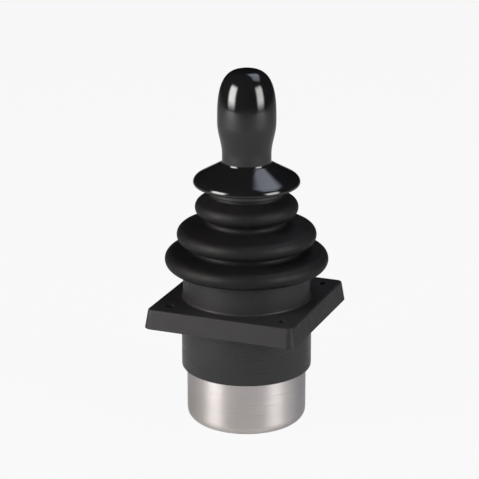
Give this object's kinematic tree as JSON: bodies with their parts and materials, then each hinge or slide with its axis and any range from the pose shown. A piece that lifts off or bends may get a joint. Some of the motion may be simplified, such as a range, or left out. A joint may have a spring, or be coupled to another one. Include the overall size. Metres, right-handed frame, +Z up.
{
  "type": "industrial joystick",
  "caption": "Panel-mounted two-axis joystick: bulb knob on a tilting lever, rubber bellows, square flange, round housing and steel can.",
  "frame": {"origin": "centre of the can's flat underside", "axes": "+Z up the lever at rest; X and Y along the sides of the square flange; the outer tilt axis is along X and the inner one along Y"},
  "size_m": [0.0838, 0.0838, 0.1856],
  "materials": {
    "flange_black": "moulded black, matt with a faint sheen",
    "plate_metal": "plain milled",
    "housing_black": "satin black anodised",
    "screw_steel": "zinc plated",
    "cast_alloy": "machined",
    "bronze": "sintered bronze",
    "post_brass": "turned",
    "board_green": "solder mask",
    "component_black": "moulded packages",
    "can_steel": "drawn and brushed round",
    "seal_rubber": "plain moulded ring",
    "connector_black": "moulded",
    "contact_gold": "gold plated",
    "boot_rubber": "matt black rubber",
    "pin_steel": "ground",
    "magnet_nickel": "nickel plated",
    "spring_steel": "drawn wire",
    "knob_black": "high gloss black"
  },
  "bodies": {
    "root": {"flange_cover": "flange_black", "mounting_plate": "plate_metal", "housing_body": "housing_black", "housing_screws": "screw_steel", "bearing_frame": "cast_alloy", "frame_screws": "screw_steel", "outer_bushes": "bronze", "gate_posts": "post_brass", "limiter_plate": "plate_metal", "board_posts": "post_brass", "sensor_board": "board_green", "hall_sensors": "component_black", "mid_posts": "post_brass", "board_ribbon": "component_black", "output_board": "board_green", "output_components": "component_black", "foot_spacers": "post_brass", "steel_can": "can_steel", "can_seal": "seal_rubber", "can_screws": "screw_steel", "connector_shell": "screw_steel", "connector_insert": "connector_black", "connector_seal": "seal_rubber", "connector_pins": "contact_gold", "boot_retaining_ring": "cast_alloy", "bellows_boot": "boot_rubber"},
    "gimbal": {"gimbal_ring": "cast_alloy", "outer_pins": "pin_steel", "inner_bushes": "bronze"},
    "lever": {"lever_rod": "pin_steel", "lever_hub": "cast_alloy", "inner_pin": "pin_steel", "pin_clips": "screw_steel", "magnet_holder": "connector_black", "magnet": "magnet_nickel", "return_spring": "spring_steel", "spring_collar": "cast_alloy", "jam_nut": "screw_steel", "cone_collar": "knob_black", "boot_band": "seal_rubber", "knob_insert": "post_brass", "knob": "knob_black"}
  },
  "joints": [
    {"name": "fore_aft_tilt", "type": "hinge", "parent": "root", "child": "gimbal", "pos_m": [0, 0, 0.0692], "axis": [1, 0, 0], "range_deg": [-18, 18], "stiffness_Nm_per_rad": 2, "deforming": ["bellows_boot", "return_spring"]},
    {"name": "side_tilt", "type": "hinge", "parent": "gimbal", "child": "lever", "pos_m": [0, 0, 0.0692], "axis": [0, 1, 0], "range_deg": [-18, 18], "stiffness_Nm_per_rad": 2, "deforming": ["bellows_boot", "return_spring"]}
  ]
}
